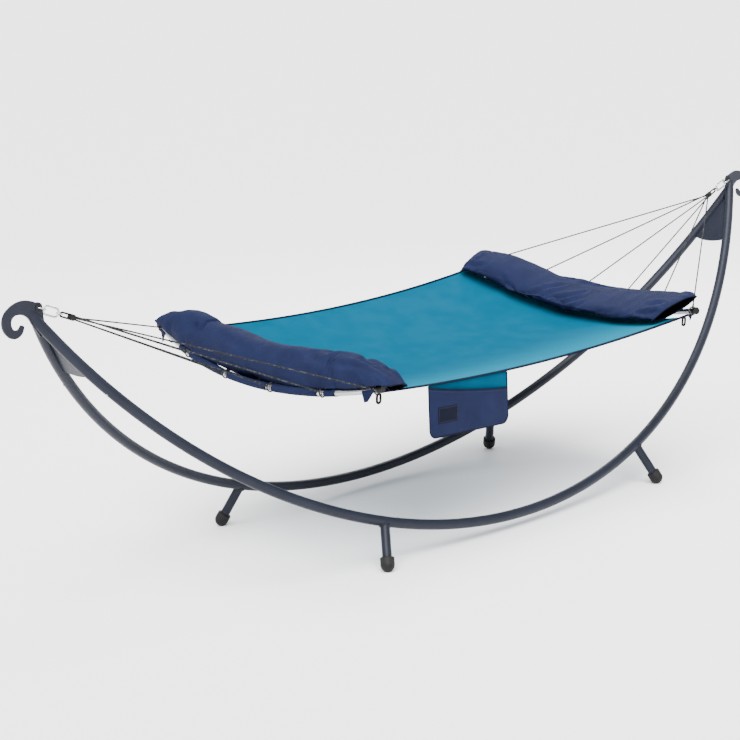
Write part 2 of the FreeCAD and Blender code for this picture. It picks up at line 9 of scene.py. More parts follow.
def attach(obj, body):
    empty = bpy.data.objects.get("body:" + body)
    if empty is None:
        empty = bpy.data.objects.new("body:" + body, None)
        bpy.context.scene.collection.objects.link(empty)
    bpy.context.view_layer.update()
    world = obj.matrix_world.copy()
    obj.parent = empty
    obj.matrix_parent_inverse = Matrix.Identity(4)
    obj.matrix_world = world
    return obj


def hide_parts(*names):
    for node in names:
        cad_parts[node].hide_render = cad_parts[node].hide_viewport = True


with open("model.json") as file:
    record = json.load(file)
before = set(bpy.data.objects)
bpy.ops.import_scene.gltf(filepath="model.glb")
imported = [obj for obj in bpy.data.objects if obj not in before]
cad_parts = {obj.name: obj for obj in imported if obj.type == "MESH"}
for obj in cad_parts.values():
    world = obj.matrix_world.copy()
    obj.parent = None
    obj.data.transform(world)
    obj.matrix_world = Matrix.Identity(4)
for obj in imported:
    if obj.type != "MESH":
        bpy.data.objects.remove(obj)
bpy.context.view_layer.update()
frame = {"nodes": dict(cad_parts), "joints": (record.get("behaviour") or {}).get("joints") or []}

swing = next(j for j in frame["joints"] if j["name"] == "hammock_swing")
endNames = (("left", -1), ("right", 1))
sideNames = (("front", -1), ("back", 1))


# sizes shared by several pieces, in metres
hang = {"roll": math.radians(4.1), "axisHeight": float(swing["pos_m"][2])}
bedSize = {"cornerX": 0.928, "half": 0.642, "waist": 0.020, "edgeHeight": 0.798,
           "edgeSag": 0.050, "crossSag": 0.088, "endBow": 0.093, "thick": 0.003}
barSize = {"half": 0.668, "endX": 0.944, "endHeight": 0.817, "bowOut": 0.093, "bowDown": 0.092,
           "radius": 0.0127, "windowHalf": 0.017, "ropeShares": (0.96, 0.6, 0.2)}
ropeSize = {"eyeOut": 2.020, "eyeHeight": 1.180, "drop": math.radians(22.0), "collarEnd": 0.1691,
            "startGap": 0.0024, "bundle": 0.0063, "radius": 0.003, "stop": 0.0025}
standSize = {"radius": 2.334, "halfSpan": 2.030, "lean": math.radians(24.5), "meetHeight": 1.135,
             "tube": 0.021, "leg": 0.019, "legTurn": 19.2}


def rolled(points):
    # turns level points about the swing axis to the angle the hammock hangs at
    p = np.array(points, float)
    c, s = math.cos(hang["roll"]), math.sin(hang["roll"])
    y, z = p[..., 1].copy(), p[..., 2] - hang["axisHeight"]
    p[..., 1] = y * c - z * s
    p[..., 2] = y * s + z * c + hang["axisHeight"]
    return p


def unit(v):
    # vectors divided by their lengths
    return v / np.maximum(np.linalg.norm(v, axis=-1, keepdims=True), 1e-12)


def ripple(u, v, seed, count=9, low=1.0, high=6.0):
    # smooth waves with seeded directions, added up; from about -1 to 1
    rng = np.random.default_rng(seed)
    total = np.zeros(np.broadcast(u, v).shape)
    for _ in range(count):
        a, f, p = rng.uniform(0, 2 * math.pi), rng.uniform(low, high), rng.uniform(0, 2 * math.pi)
        total = total + np.sin((u * math.cos(a) + v * math.sin(a)) * f + p)
    return total / math.sqrt(count)


def gridMesh(name, points, body, material, closeU=False, closeV=False, capU=False, uv=None, smooth=True):
    # a grid of points becomes quads; closed ways wrap round and capU closes both ends with one face each
    nu, nv = points.shape[:2]
    iu = np.arange(nu if closeU else nu - 1)
    iv = np.arange(nv if closeV else nv - 1)
    a, b = np.meshgrid(iu, iv, indexing="ij")
    a2, b2 = (a + 1) % nu, (b + 1) % nv
    quads = np.stack([a * nv + b, a2 * nv + b, a2 * nv + b2, a * nv + b2], -1).reshape(-1, 4)
    faces = quads.tolist()
    if capU:
        faces.append(list(range(nv)))
        faces.append(list(range((nu - 1) * nv, nu * nv))[::-1])
    mesh = bpy.data.meshes.new(name)
    mesh.from_pydata(points.reshape(-1, 3).tolist(), [], faces)
    if uv is not None:
        u, v = uv
        corner = np.stack([np.stack([u[a], v[b]], -1), np.stack([u[a + 1], v[b]], -1),
                           np.stack([u[a + 1], v[b + 1]], -1), np.stack([u[a], v[b + 1]], -1)], -2)
        flat = corner.reshape(-1, 2)
        spare = np.zeros((len(mesh.loops) - len(flat), 2))
        mesh.uv_layers.new(name="UVMap").data.foreach_set("uv", np.vstack([flat, spare]).ravel())
    mesh.update()
    return place(name, mesh, body, material, smooth)


def place(name, mesh, body, material, smooth=True):
    piece = bpy.data.objects.new(name, mesh)
    bpy.context.scene.collection.objects.link(piece)
    if material:
        mesh.materials.append(material)
    mesh.polygons.foreach_set("use_smooth", [smooth] * len(mesh.polygons))
    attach(piece, body)
    return piece


def outward(piece):
    # faces of a closed mesh turned to point out
    work = bmesh.new()
    work.from_mesh(piece.data)
    bmesh.ops.recalc_face_normals(work, faces=work.faces)
    work.to_mesh(piece.data)
    work.free()


def lengths(path):
    # distance along a path at each of its points
    step = np.linalg.norm(np.diff(path, axis=0), axis=1)
    return np.concatenate([[0.0], np.cumsum(step)])


def carried(path, across, up, closed=False, hint=(0, 0, 1)):
    # a profile carried along a path: across and up are the profile's offsets at each point
    path = np.array(path, float)
    if closed:
        tangent = unit(np.roll(path, -1, 0) - np.roll(path, 1, 0))
    else:
        tangent = unit(np.gradient(path, axis=0))
    side = unit(np.cross(tangent, np.broadcast_to(np.array(hint, float), path.shape)))
    lift = np.cross(side, tangent)
    across, up = np.broadcast_arrays(np.atleast_2d(across), np.atleast_2d(up))
    return path[:, None, :] + side[:, None, :] * across[..., None] + lift[:, None, :] * up[..., None]


def roundBar(name, path, radius, body, material, sides=12, closed=False, hint=(0, 0, 1), flat=1.0):
    # a round or flattened bar along a path, with its uv in metres
    turn = np.linspace(0, 2 * math.pi, sides, endpoint=False)
    r = np.broadcast_to(np.asarray(radius, float), (len(path),))[:, None]
    pts = carried(path, r * np.cos(turn)[None, :], r * flat * np.sin(turn)[None, :], closed, hint)
    u = lengths(np.vstack([path, path[:1]]))
    v = np.linspace(0, 2 * math.pi * float(np.mean(r)), sides + 1)
    piece = gridMesh(name, pts, body, material, closeU=closed, closeV=True, capU=not closed, uv=(u, v))
    outward(piece)
    return piece


def stitches(name, path, normal, body, material, pitch=0.005, length=0.0032, radius=0.00045):
    # a row of short raised threads along a path, each a small spindle with six sides
    s = lengths(path)
    at = np.arange(pitch / 2, s[-1], pitch)
    mid = np.stack([np.interp(at, s, path[:, k]) for k in range(3)], -1)
    ahead = np.stack([np.interp(at + 0.001, s, path[:, k]) for k in range(3)], -1)
    along = unit(ahead - np.stack([np.interp(at - 0.001, s, path[:, k]) for k in range(3)], -1))
    normal = np.broadcast_to(np.asarray(normal, float), path.shape)
    up = unit(np.stack([np.interp(at, s, normal[:, k]) for k in range(3)], -1))
    side = np.cross(along, up)
    rings, sides = np.array([-0.5, -0.2, 0.2, 0.5]), 6
    fat = np.array([0.25, 1.0, 1.0, 0.25]) * radius
    turn = np.linspace(0, 2 * math.pi, sides, endpoint=False)
    pts = (mid[:, None, None, :] + along[:, None, None, :] * (rings * length)[None, :, None, None]
           + side[:, None, None, :] * (fat[:, None] * np.cos(turn)[None, :] * 1.4)[None, ..., None]
           + up[:, None, None, :] * (fat[:, None] * np.sin(turn)[None, :])[None, ..., None])
    n = len(at)
    base = (np.arange(n) * rings.size * sides)[:, None, None]
    i, j = np.meshgrid(np.arange(rings.size - 1), np.arange(sides), indexing="ij")
    j2 = (j + 1) % sides
    quads = np.stack([i * sides + j, i * sides + j2, (i + 1) * sides + j2, (i + 1) * sides + j], -1)
    quads = (quads.reshape(1, -1, 4) + base).reshape(-1, 4).tolist()
    capA = (np.arange(sides)[::-1][None, :] + base[:, 0]).tolist()
    capB = (((rings.size - 1) * sides + np.arange(sides))[None, :] + base[:, 0]).tolist()
    mesh = bpy.data.meshes.new(name)
    mesh.from_pydata(pts.reshape(-1, 3).tolist(), [], quads + capA + capB)
    piece = place(name, mesh, body, material)
    outward(piece)
    return piece


def thicken(piece, amount, offset=-1.0):
    mod = piece.modifiers.new("cloth", "SOLIDIFY")
    mod.thickness = amount
    mod.offset = offset
    return piece


def divide(piece, levels=1):
    mod = piece.modifiers.new("round", "SUBSURF")
    mod.levels = levels
    mod.render_levels = levels
    return piece


def newMaterial(name):
    material = bpy.data.materials.new(name)
    material.use_nodes = True
    tree = material.node_tree
    return material, tree, tree.nodes["Principled BSDF"]


def node(tree, kind, **values):
    made = tree.nodes.new(kind)
    for key, value in values.items():
        if key in made.inputs:
            made.inputs[key].default_value = value
        else:
            setattr(made, key, value)
    return made


def link(tree, a, out, b, into):
    tree.links.new(a.outputs[out], b.inputs[into])


def mixColours(tree, factor, factorOut, low, high):
    mix = node(tree, "ShaderNodeMix", data_type="RGBA")
    mix.inputs[6].default_value = (*low, 1)
    mix.inputs[7].default_value = (*high, 1)
    tree.links.new(factor.outputs[factorOut], mix.inputs[0])
    return mix


def ramp(tree, source, out, low, high, a=0.0, b=1.0):
    made = node(tree, "ShaderNodeMapRange", **{"From Min": low, "From Max": high, "To Min": a, "To Max": b})
    tree.links.new(source.outputs[out], made.inputs["Value"])
    return made


def mathNode(tree, operation, a, b=None):
    made = node(tree, "ShaderNodeMath", operation=operation)
    for k, value in enumerate((a, b)):
        if value is None:
            continue
        if isinstance(value, (int, float)):
            made.inputs[k].default_value = value
        else:
            tree.links.new(value, made.inputs[k])
    return made


def addBump(tree, shader, height, strength, distance, normalFrom=None):
    made = node(tree, "ShaderNodeBump", Strength=strength, Distance=distance)
    tree.links.new(height, made.inputs["Height"])
    if normalFrom:
        tree.links.new(normalFrom.outputs["Normal"], made.inputs["Normal"])
    tree.links.new(made.outputs["Normal"], shader.inputs["Normal"])
    return made


def paint(name, low, high, roughness, grain=900, bumpDepth=0.00006):
    # sprayed finish: fine orange peel, patchy gloss and colour
    material, tree, shader = newMaterial(name)
    coords = node(tree, "ShaderNodeTexCoord")
    patch = node(tree, "ShaderNodeTexNoise", Scale=7.0, Detail=5.0, Roughness=0.55)
    peel = node(tree, "ShaderNodeTexNoise", Scale=float(grain), Detail=2.0)
    scuff = node(tree, "ShaderNodeTexNoise", Scale=60.0, Detail=8.0, Roughness=0.7)
    for n in (patch, peel, scuff):
        link(tree, coords, "Object", n, "Vector")
    colour = mixColours(tree, ramp(tree, patch, "Fac", 0.3, 0.7), "Result", low, high)
    pale = [min(1, c * 1.8) for c in high]
    fleck = mixColours(tree, ramp(tree, scuff, "Fac", 0.62, 0.78, 0.0, 0.35), "Result", low, pale)
    link(tree, colour, 2, fleck, 6)
    link(tree, fleck, 2, shader, "Base Color")
    link(tree, ramp(tree, scuff, "Fac", 0.3, 0.75, roughness - 0.06, roughness + 0.1), "Result", shader, "Roughness")
    shader.inputs["Specular IOR Level"].default_value = 0.15
    addBump(tree, shader, peel.outputs["Fac"], 0.5, bumpDepth)
    return material


def metal(name, colour, roughness, brushed=(1.0, 1.0, 1.0), scale=400.0):
    # bare metal with fine lines, stretched along the brushed way
    material, tree, shader = newMaterial(name)
    coords = node(tree, "ShaderNodeTexCoord")
    stretch = node(tree, "ShaderNodeMapping")
    stretch.inputs["Scale"].default_value = brushed
    link(tree, coords, "Object", stretch, "Vector")
    line = node(tree, "ShaderNodeTexNoise", Scale=scale, Detail=4.0)
    cloud = node(tree, "ShaderNodeTexNoise", Scale=35.0, Detail=3.0)
    link(tree, stretch, "Vector", line, "Vector")
    link(tree, coords, "Object", cloud, "Vector")
    tone = mixColours(tree, ramp(tree, cloud, "Fac", 0.35, 0.7), "Result", [c * 0.82 for c in colour], colour)
    link(tree, tone, 2, shader, "Base Color")
    link(tree, ramp(tree, line, "Fac", 0.3, 0.7, roughness - 0.08, roughness + 0.1), "Result", shader, "Roughness")
    shader.inputs["Metallic"].default_value = 1.0
    addBump(tree, shader, line.outputs["Fac"], 0.3, 0.00003)
    return material


def cloth(name, low, high, pitch=0.0011, roughness=0.75, bumpDepth=0.0003, patchScale=9.0, specular=0.3):
    # plain weave on the piece's own uv in metres: threads over and under, slubs, faint patches
    material, tree, shader = newMaterial(name)
    coords = node(tree, "ShaderNodeTexCoord")
    split = node(tree, "ShaderNodeSeparateXYZ")
    link(tree, coords, "UV", split, "Vector")
    turn = 2 * math.pi / pitch
    warp = mathNode(tree, "SINE", mathNode(tree, "MULTIPLY", split.outputs["X"], turn).outputs[0])
    weft = mathNode(tree, "SINE", mathNode(tree, "MULTIPLY", split.outputs["Y"], turn).outputs[0])
    over = mathNode(tree, "MULTIPLY", warp.outputs[0], weft.outputs[0])
    slub = node(tree, "ShaderNodeTexNoise", Scale=420.0, Detail=3.0)
    patch = node(tree, "ShaderNodeTexNoise", Scale=patchScale, Detail=5.0, Roughness=0.6)
    link(tree, coords, "UV", slub, "Vector")
    link(tree, coords, "Object", patch, "Vector")
    shade = mathNode(tree, "ADD", mathNode(tree, "MULTIPLY", over.outputs[0], 0.18).outputs[0],
                     ramp(tree, slub, "Fac", 0.25, 0.75, -0.12, 0.12).outputs["Result"])
    shade = mathNode(tree, "ADD", shade.outputs[0], ramp(tree, patch, "Fac", 0.28, 0.72, 0.0, 1.0).outputs["Result"])
    colour = mixColours(tree, shade, 0, low, high)
    link(tree, colour, 2, shader, "Base Color")
    link(tree, ramp(tree, slub, "Fac", 0.3, 0.7, roughness - 0.06, roughness + 0.06), "Result", shader, "Roughness")
    shader.inputs["Specular IOR Level"].default_value = specular
    fine = addBump(tree, shader, over.outputs[0], 0.55, bumpDepth)
    soft = node(tree, "ShaderNodeTexNoise", Scale=28.0, Detail=4.0, Roughness=0.5)
    link(tree, coords, "Object", soft, "Vector")
    addBump(tree, shader, soft.outputs["Fac"], 0.35, 0.002, fine)
    return material


def cordWeave(name, low, high, flecks=0.35, scale=260.0):
    # braided cord: a lattice of strands with pale flecks, the grooves between strands painted darker as shade
    material, tree, shader = newMaterial(name)
    coords = node(tree, "ShaderNodeTexCoord")
    cells = node(tree, "ShaderNodeTexVoronoi", Scale=scale)
    noise = node(tree, "ShaderNodeTexNoise", Scale=110.0, Detail=3.0)
    link(tree, coords, "Object", cells, "Vector")
    link(tree, coords, "Object", noise, "Vector")
    pick = ramp(tree, noise, "Fac", 1 - flecks - 0.08, 1 - flecks + 0.02)
    colour = mixColours(tree, pick, "Result", low, high)
    # painted shade: colour darkens from each strand's middle to the grooves between strands
    edge = mixColours(tree, ramp(tree, cells, "Distance", 0.0, 0.7), "Result", high, low)
    link(tree, colour, 2, edge, 6)
    link(tree, edge, 2, shader, "Base Color")
    link(tree, ramp(tree, noise, "Fac", 0.3, 0.7, 0.7, 0.9), "Result", shader, "Roughness")
    shader.inputs["Specular IOR Level"].default_value = 0.1
    addBump(tree, shader, cells.outputs["Distance"], 0.7, 0.0006)
    return material


def molded(name, low, high, roughness, grain=350.0, depth=0.0001):
    # plastic or rubber: pitted skin with faint dust
    material, tree, shader = newMaterial(name)
    coords = node(tree, "ShaderNodeTexCoord")
    pits = node(tree, "ShaderNodeTexNoise", Scale=grain, Detail=5.0, Roughness=0.65)
    dust = node(tree, "ShaderNodeTexNoise", Scale=25.0, Detail=6.0)
    link(tree, coords, "Object", pits, "Vector")
    link(tree, coords, "Object", dust, "Vector")
    colour = mixColours(tree, ramp(tree, dust, "Fac", 0.4, 0.75), "Result", low, high)
    link(tree, colour, 2, shader, "Base Color")
    link(tree, ramp(tree, pits, "Fac", 0.3, 0.7, roughness - 0.08, roughness + 0.1), "Result", shader, "Roughness")
    shader.inputs["Specular IOR Level"].default_value = 0.2
    addBump(tree, shader, pits.outputs["Fac"], 0.5, depth)
    return material


standPaint = paint("standPaint", (0.0070, 0.0085, 0.0150), (0.0100, 0.0120, 0.0200), 0.40)
weldPaint = paint("weldPaint", (0.0075, 0.0090, 0.0155), (0.0105, 0.0125, 0.0205), 0.44, grain=500)
footRubber = molded("footRubber", (0.004, 0.004, 0.0045), (0.011, 0.011, 0.012), 0.62)
bushingPlastic = molded("bushingPlastic", (0.003, 0.003, 0.0035), (0.006, 0.006, 0.0065), 0.5)
collarPlastic = molded("collarPlastic", (0.003, 0.003, 0.0035), (0.007, 0.007, 0.008), 0.55, 500.0)
capPlastic = molded("capPlastic", (0.0022, 0.0022, 0.0025), (0.005, 0.005, 0.0055), 0.5)
linkSteel = metal("linkSteel", (0.50, 0.51, 0.53), 0.2)
buttonSteel = metal("buttonSteel", (0.34, 0.36, 0.40), 0.3)
barMetal = metal("barMetal", (0.52, 0.53, 0.55), 0.30, (1, 0.03, 1), 900.0)
tealCloth = cloth("tealCloth", (0.0, 0.054, 0.100), (0.0002, 0.065, 0.118), specular=0.01)
tealPanel = cloth("tealPanel", (0.0, 0.050, 0.094), (0.0002, 0.060, 0.110), specular=0.01)
navyCloth = cloth("navyCloth", (0.0055, 0.0080, 0.0270), (0.0085, 0.0120, 0.0385), pitch=0.0014, specular=0.06)
darkNavyCloth = cloth("darkNavyCloth", (0.003, 0.0045, 0.013), (0.005, 0.007, 0.018),
                pitch=0.0014, specular=0.05)
patchCloth = cloth("patchCloth", (0.003, 0.004, 0.010), (0.0045, 0.0055, 0.013), pitch=0.0009, specular=0.05)
nearBlackCloth = cloth("nearBlackCloth", (0.0016, 0.002, 0.0045), (0.003, 0.0035, 0.0065),
                pitch=0.0014, specular=0.03)
threadNavy = molded("threadNavy", (0.02, 0.025, 0.07), (0.035, 0.04, 0.10), 0.7, 900.0, 0.00004)
threadPatch = molded("threadPatch", (0.040, 0.043, 0.056), (0.060, 0.064, 0.082), 0.7, 900.0, 0.00004)
greyRope = cordWeave("greyRope", (0.010, 0.0105, 0.012), (0.105, 0.112, 0.125), 0.42)
darkRope = cordWeave("darkRope", (0.004, 0.004, 0.0045), (0.03, 0.031, 0.035), 0.25)
blackCord = cordWeave("blackCord", (0.0015, 0.0015, 0.002), (0.008, 0.008, 0.009), 0.25, 420.0)


def paintedSheenBand(material, start, stop, gain):
    # painted highlight: the cloth's colour is painted paler beside its near edge, standing in for the sheen it shows
    # where it turns to the light
    tree = material.node_tree
    shader = tree.nodes["Principled BSDF"]
    was = shader.inputs["Base Color"].links[0].from_socket
    coords = node(tree, "ShaderNodeTexCoord")
    split = node(tree, "ShaderNodeSeparateXYZ")
    link(tree, coords, "Object", split, "Vector")
    paintedSheen = ramp(tree, split, "Y", start, stop, gain, 0.0)
    paintedSheen.interpolation_type = "SMOOTHERSTEP"
    mix = node(tree, "ShaderNodeMix", data_type="RGBA")
    # the paler teal painted in as sheen
    mix.inputs[7].default_value = (0.0, 0.185, 0.275, 1)
    tree.links.new(paintedSheen.outputs["Result"], mix.inputs[0])
    tree.links.new(was, mix.inputs[6])
    link(tree, mix, 2, shader, "Base Color")


# painted sheen along the bed's near edge
paintedSheenBand(tealCloth, -0.66, -0.06, 0.55)

finishes = (
    (("hook_plate", "gusset", "end_tube", "side_tube", "centre_tube", "leg_"), standPaint),
    (("foot_caps",), footRubber),
    (("eye_bushings",), bushingPlastic),
    (("rope_collars",), collarPlastic),
    (("bar_end_caps",), capPlastic),
    (("snap_clip",), buttonSteel),
    (("spreader_bar",), barMetal),
    (("eye_links", "carabiner", "gate", "small_rings"), linkSteel),
    (("rope_eyes",), darkRope),
)
for nodeName, obj in frame["nodes"].items():
    finish = next((made for starts, made in finishes if nodeName.startswith(starts)), navyCloth)
    obj.data.materials.clear()
    obj.data.materials.append(finish)
print("materials done")


# weld beads where the legs join the arcs
weld = {"bead": 0.0035, "pitch": 0.0042, "legSides": 96}


def arcFrame(turn, side):
    # centre of a bent tube at an angle along its arc, with its tangent and outward direction
    turn = np.asarray(turn, float)
    depth = standSize["radius"] - math.sqrt(standSize["radius"] ** 2 - standSize["halfSpan"] ** 2)
    down = np.array([0, side * math.sin(standSize["lean"]), -math.cos(standSize["lean"])])
    out = np.stack([np.sin(turn)] + [np.cos(turn) * down[1], np.cos(turn) * down[2]], -1)
    tangent = np.stack([np.cos(turn), -np.sin(turn) * down[1], -np.sin(turn) * down[2]], -1)
    middle = np.array([0, 0, standSize["meetHeight"]]) - down * (standSize["radius"] - depth)
    return middle + out * standSize["radius"], tangent, out


def beadAlong(name, path, closed=False):
    # a weld bead: a low round bar whose size pulses along its run
    s = lengths(path)
    count = max(12, int(s[-1] / weld["pitch"] * 5))
    at = np.linspace(0, s[-1], count, endpoint=not closed)
    run = np.stack([np.interp(at, s, path[:, k]) for k in range(3)], -1)
    pulse = weld["bead"] * (1 + 0.14 * np.sin(2 * math.pi * at / weld["pitch"]))
    return roundBar(name, run, pulse, "stand", weldPaint, sides=10, closed=closed, hint=(0.3, 0.2, 1))


for endName, end in endNames:
    for sideName, side in sideNames:
        centre, tangent, out = arcFrame(end * math.radians(standSize["legTurn"]), side)
        across = np.cross(tangent, out)
        angle = np.linspace(0, 2 * math.pi, weld["legSides"] + 1)[:, None]
        r = standSize["leg"] + 0.0012
        rise = np.sqrt(standSize["tube"] ** 2 - (np.minimum(r, standSize["tube"]) * np.sin(angle)) ** 2)
        ring = centre + tangent * r * np.cos(angle) + across * r * np.sin(angle) + out * (rise + 0.001)
        beadAlong("weldLeg_%s_%s" % (sideName, endName), ring[:-1], closed=True)
print("welds done")


def bedPoint(along, across, lift=0.0):
    # the cloth: both ways from -1 to 1, ends bowed out, sides and middle sagging
    along, across = np.broadcast_arrays(np.asarray(along, float), np.asarray(across, float))
    sideBow, endBow = 1 - along ** 2, 1 - across ** 2
    x = along * (bedSize["cornerX"] + bedSize["endBow"] * endBow)
    y = across * (bedSize["half"] - bedSize["waist"] * sideBow)
    z = bedSize["edgeHeight"] - bedSize["edgeSag"] * sideBow - bedSize["crossSag"] * endBow
    return np.stack([x, y, z + lift], -1)


def bedHeight(x, y):
    # height of the cloth under a place: the edge height less both sags
    across = np.clip(y / bedSize["half"], -1, 1)
    along = np.clip(x / (bedSize["cornerX"] + bedSize["endBow"] * (1 - across ** 2)), -1, 1)
    return bedSize["edgeHeight"] - bedSize["edgeSag"] * (1 - along ** 2) - bedSize["crossSag"] * (1 - across ** 2)


barSpan = barSize["bowOut"] ** 2 + barSize["bowDown"] ** 2
barBow = math.sqrt(barSpan)
barBend = (barSize["half"] ** 2 + barSpan) / (2 * barBow)


def barPoint(end, y):
    # centre of the bowed bar at a distance across the hammock: a circle's arc in a sloping plane
    y = np.asarray(y, float)
    bow = np.sqrt(barBend ** 2 - y ** 2) - (barBend - barBow)
    share = bow / barBow
    return np.stack([end * (barSize["endX"] + barSize["bowOut"] * share), y,
                     barSize["endHeight"] - barSize["bowDown"] * share], -1)


bed = {"stepsAlong": 260, "stepsAcross": 180, "hemInset": 0.060, "thick": 0.0016, "binding": 0.0085,
       "bindingFlat": 0.50, "slack": 0.0009}


def buildBed():
    # the cloth surface with faint slack and pull lines that fan in from the ropes
    reach = 1 - bed["hemInset"] / (bedSize["cornerX"] + bedSize["endBow"])
    u = np.linspace(-reach, reach, bed["stepsAlong"])
    v = np.linspace(-1, 1, bed["stepsAcross"])
    uu, vv = np.meshgrid(u, v, indexing="ij")
    pull = np.zeros_like(uu)
    for share in barSize["ropeShares"]:
        for side in (-1, 1):
            near = np.exp(-((vv - side * share) / 0.05) ** 2)
            pull += near * np.exp((np.abs(uu) - 1) / 0.10) * 0.003
    lift = pull + bed["slack"] * ripple(uu * 2.2, vv * 5, 4, 12, 0.6, 4.0) * (1 - vv ** 8)
    level = bedPoint(uu, vv, 0.0)
    level[..., 2] += lift
    pts = rolled(level)
    sizeU, sizeV = bedSize["cornerX"] + 0.06, bedSize["half"]
    piece = gridMesh("bedCloth", pts, "hammock", tealCloth, uv=(u * sizeU, v * sizeV))
    thicken(piece, bed["thick"])
    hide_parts("bed_cloth")
    for sideName, side in sideNames:
        edge = rolled(bedPoint(np.linspace(-0.995, 0.995, 220), side * 0.999, -bed["thick"] / 2))
        roundBar("bedBinding_" + sideName, edge, bed["binding"], "hammock", darkNavyCloth, 14,
                              flat=bed["bindingFlat"])
        row = rolled(bedPoint(np.linspace(-0.98, 0.98, 260), side * 0.9935, 0.0018))
        stitches("bedStitch_" + sideName, row, (0, 0, 1), "hammock", threadNavy)


buildBed()
print("bed done")


# the casings round the bars
casing = {"radius": 0.0152, "tail": 0.062, "thick": 0.0014, "puff": 0.0012, "bareFrom": 0.70,
          "flapFrom": 0.885, "flapTo": 0.965, "flapLong": 0.046}


def casingProfile(end, y):
    # a teardrop: under the bar from the seam, round its outer side and back down to the seam
    bar = barPoint(end, y)
    seam = bar[..., 0] - end * casing["tail"]
    drop = bedHeight(seam, y) - bar[..., 2]
    arc = np.radians(np.linspace(-100, 112, 26))
    ring = casing["radius"] * np.stack([np.cos(arc), np.sin(arc)], -1)
    low = np.linspace(0, 1, 9)[:-1, None]
    high = np.linspace(0, 1, 11)[1:, None]
    one = np.ones_like(drop)
    seamLow = np.stack([-casing["tail"] * one, drop - 0.0035], -1)[:, None, :]
    seamHigh = np.stack([-casing["tail"] * one, drop + 0.0012], -1)[:, None, :]
    under = seamLow + (ring[0] - seamLow) * low
    over = ring[-1] + (seamHigh - ring[-1]) * high
    over[..., 1] -= 0.004 * np.sin(math.pi * high[:, 0]) ** 2
    around = np.broadcast_to(ring, (len(y), *ring.shape))
    flat = np.concatenate([under, around, over], 1)
    pts = bar[:, None, :] + np.stack([end * flat[..., 0], np.zeros(flat.shape[:2]), flat[..., 1]], -1)
    return pts


def cornerFlap(name, end, side):
    # the loose corner of the hem: a small three-sided flap that hangs under the bar
    u, v = np.meshgrid(np.linspace(0, 1, 16), np.linspace(0, 1, 14), indexing="ij")
    narrowed = 0.5 + (u - 0.5) * (1 - 0.88 * v ** 1.3) - 0.1 * v
    share = casing["flapFrom"] + (casing["flapTo"] - casing["flapFrom"]) * narrowed
    start = barPoint(end, side * share * barSize["half"])
    drop = v * casing["flapLong"]
    curl = 0.006 * np.sin(u * 5 + 1) * v + 0.012 * v ** 2
    start[..., 0] += end * (0.0135 * np.cos(v * 1.2) + curl)
    start[..., 2] -= drop - 0.004
    flap = gridMesh(name, rolled(start), "hammock", navyCloth, uv=(u[:, 0] * 0.06, v[0] * casing["flapLong"]))
    return thicken(flap, 0.0016, 0.0)


def buildCasings():
    # one casing at each end, in lengths that stop either side of every rope
    spots = sorted(side * share * barSize["half"] for share in barSize["ropeShares"] for side in (-1, 1))
    for endName, end in endNames:
        rows, faces, uvs, start = [], [], [], 0
        for k, (a, b) in enumerate(zip(spots[:-1], spots[1:])):
            low, high = a + barSize["windowHalf"], b - barSize["windowHalf"]
            low = max(low, -casing["bareFrom"] * barSize["half"])
            high = min(high, casing["bareFrom"] * barSize["half"])
            y = np.linspace(low, high, max(8, int((high - low) / 0.008)))
            pts = casingProfile(end, y)
            t = np.linspace(0, 1, pts.shape[1])[None, :]
            wave = ripple(y[:, None] * 60, t * 9, 20 + k + end, 8, 0.5, 2.5) * casing["puff"]
            pts[..., 2] += wave * np.sin(math.pi * t) * 0.6
            pts[..., 0] += end * wave * np.sin(math.pi * t)
            n, m = pts.shape[:2]
            i, j = np.meshgrid(np.arange(n - 1), np.arange(m - 1), indexing="ij")
            order = [(0, 0), (1, 0), (1, 1), (0, 1)] if end > 0 else [(0, 0), (0, 1), (1, 1), (1, 0)]
            quad = np.stack([(i + di) * m + (j + dj) for di, dj in order], -1).reshape(-1, 4) + start
            girth = lengths(pts[0])
            uv = np.stack([np.stack([y[i + di], girth[j + dj]], -1) for di, dj in order], -2).reshape(-1, 2)
            rows.append(rolled(pts).reshape(-1, 3))
            faces.append(quad)
            uvs.append(uv)
            start += n * m
            seamRow = pts[:, -3, :] + np.array([0, 0, 0.0012])
            stitches("casingStitch_%s_%d" % (endName, k + 1), rolled(seamRow), (0, 0, 1),
                                  "hammock", threadNavy)
        for sideName, side in sideNames:
            cornerFlap("cornerFlap_%s_%s" % (sideName, endName), end, side)
        mesh = bpy.data.meshes.new("barCasing_" + endName)
        mesh.from_pydata(np.vstack(rows).tolist(), [], np.vstack(faces).tolist())
        mesh.uv_layers.new(name="UVMap").data.foreach_set("uv", np.vstack(uvs).ravel())
        piece = place("barCasing_" + endName, mesh, "hammock", navyCloth)
        thicken(piece, casing["thick"], 0.0)
        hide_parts("bar_sleeves")
        height = lengths(casingProfile(end, np.array([0.3]))[0])[-1]


buildCasings()
print("casings done")


rope = {"sides": 3, "loopGap": 0.0012, "splice": 0.050, "spliceRadius": 0.0043}


def pullPoint(end, s, across=0.0, lift=0.0):
    # a place s along the line of pull from the eye, in the level hammock
    c, d = math.cos(ropeSize["drop"]), math.sin(ropeSize["drop"])
    return np.array([end * (ropeSize["eyeOut"] - c * s - d * lift), across,
                     ropeSize["eyeHeight"] - d * s + c * lift])


